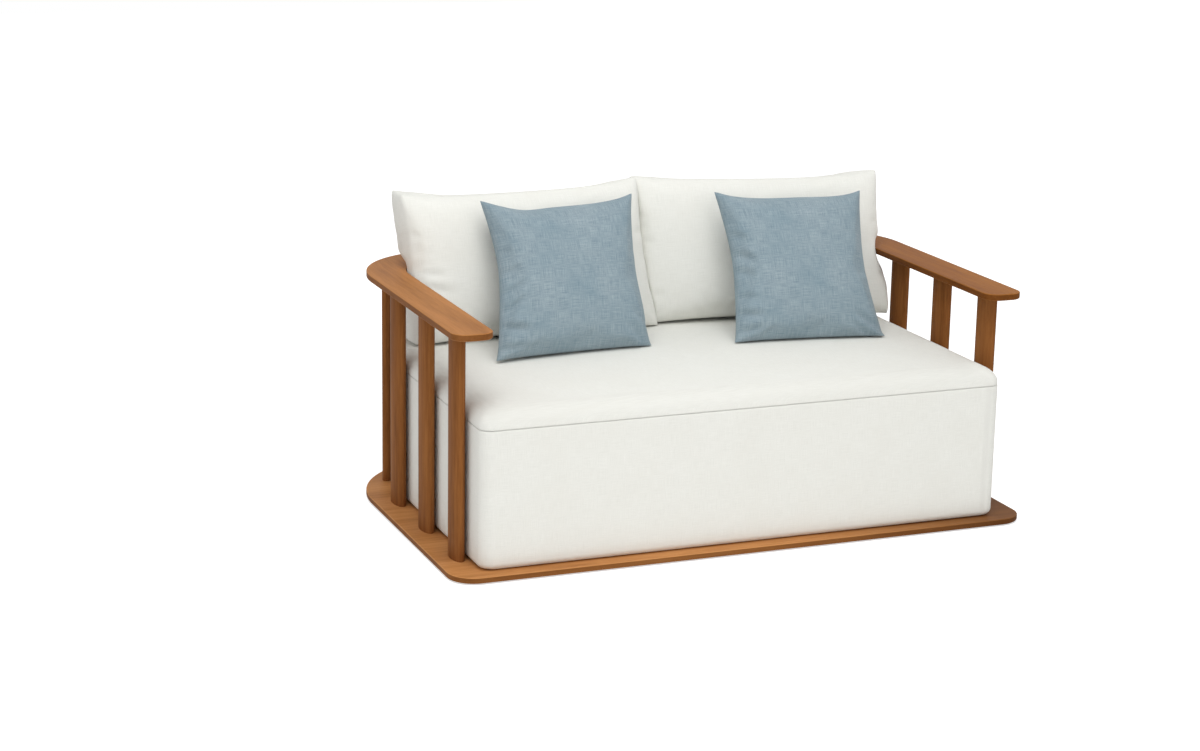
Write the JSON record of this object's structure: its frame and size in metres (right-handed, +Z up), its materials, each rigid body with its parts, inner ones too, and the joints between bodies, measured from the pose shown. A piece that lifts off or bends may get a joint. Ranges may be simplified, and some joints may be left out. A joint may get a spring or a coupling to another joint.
{
  "type": "patio loveseat",
  "caption": "Two-seat outdoor loveseat: slatted wooden tray frame with a flat top rail, a deep seat block, back cushions and throw pillows.",
  "frame": {"origin": "on the floor, under the middle of the base board", "axes": "+X to the sitter's left along the front, +Y to the back, +Z up"},
  "size_m": [1.65, 1.06, 0.8493],
  "materials": {
    "board_wood": "oiled hardwood, satin",
    "rail_wood": "oiled hardwood, satin",
    "slat_wood": "oiled hardwood, satin",
    "dowel_wood": "plain hardwood",
    "plinth_wood": "plain plywood",
    "steel": "zinc-plated",
    "glide_plastic": "moulded, matt",
    "seat_cloth": "off-white woven outdoor cloth",
    "cushion_cloth": "off-white woven outdoor cloth",
    "pillow_cloth": "mid-blue woven cloth",
    "filling": "foam and fibre filling"
  },
  "bodies": {
    "frame": {"base_board": "board_wood", "floor_glides": "glide_plastic", "glide_screws": "steel", "slat_inserts": "steel", "slat_bolts": "steel", "rail_dowels": "dowel_wood", "rail_tenons": "dowel_wood", "slat_back_centre": "slat_wood", "slat_left_arm_1": "slat_wood", "slat_left_arm_2": "slat_wood", "slat_left_arm_3": "slat_wood", "slat_left_back_1": "slat_wood", "slat_left_back_2": "slat_wood", "slat_left_corner": "slat_wood", "slat_right_arm_1": "slat_wood", "slat_right_arm_2": "slat_wood", "slat_right_arm_3": "slat_wood", "slat_right_back_1": "slat_wood", "slat_right_back_2": "slat_wood", "slat_right_corner": "slat_wood", "rail_back": "rail_wood", "rail_left_arm": "rail_wood", "rail_left_corner": "rail_wood", "rail_right_arm": "rail_wood", "rail_right_corner": "rail_wood"},
    "seat_block": {"plinth_back": "plinth_wood", "plinth_deck": "plinth_wood", "plinth_front": "plinth_wood", "plinth_left": "plinth_wood", "plinth_left_corner": "plinth_wood", "plinth_left_divider": "plinth_wood", "plinth_right": "plinth_wood", "plinth_right_corner": "plinth_wood", "plinth_right_divider": "plinth_wood", "plinth_screws": "steel", "seat_foam": "filling", "side_wadding": "filling", "seat_cover_top": "seat_cloth", "seat_cover_skirt": "seat_cloth"},
    "left_cushion": {"left_cushion_cover": "cushion_cloth", "left_cushion_fill": "filling"},
    "right_cushion": {"right_cushion_cover": "cushion_cloth", "right_cushion_fill": "filling"},
    "left_pillow": {"left_pillow_cover": "pillow_cloth", "left_pillow_fill": "filling"},
    "right_pillow": {"right_pillow_cover": "pillow_cloth", "right_pillow_fill": "filling"}
  },
  "joints": [
    {"name": "seat_block_slide", "type": "slide", "parent": "frame", "child": "seat_block", "axis": [0, -1, 0], "range_m": [0, 0.98]},
    {"name": "left_cushion_lift", "type": "slide", "parent": "seat_block", "child": "left_cushion", "axis": [0, 0, 1], "range_m": [0, 0.45]},
    {"name": "right_cushion_lift", "type": "slide", "parent": "seat_block", "child": "right_cushion", "axis": [0, 0, 1], "range_m": [0, 0.45]},
    {"name": "left_pillow_lift", "type": "slide", "parent": "left_cushion", "child": "left_pillow", "axis": [0, 0, 1], "range_m": [0, 0.45]},
    {"name": "right_pillow_lift", "type": "slide", "parent": "right_cushion", "child": "right_pillow", "axis": [0, 0, 1], "range_m": [0, 0.45]}
  ]
}
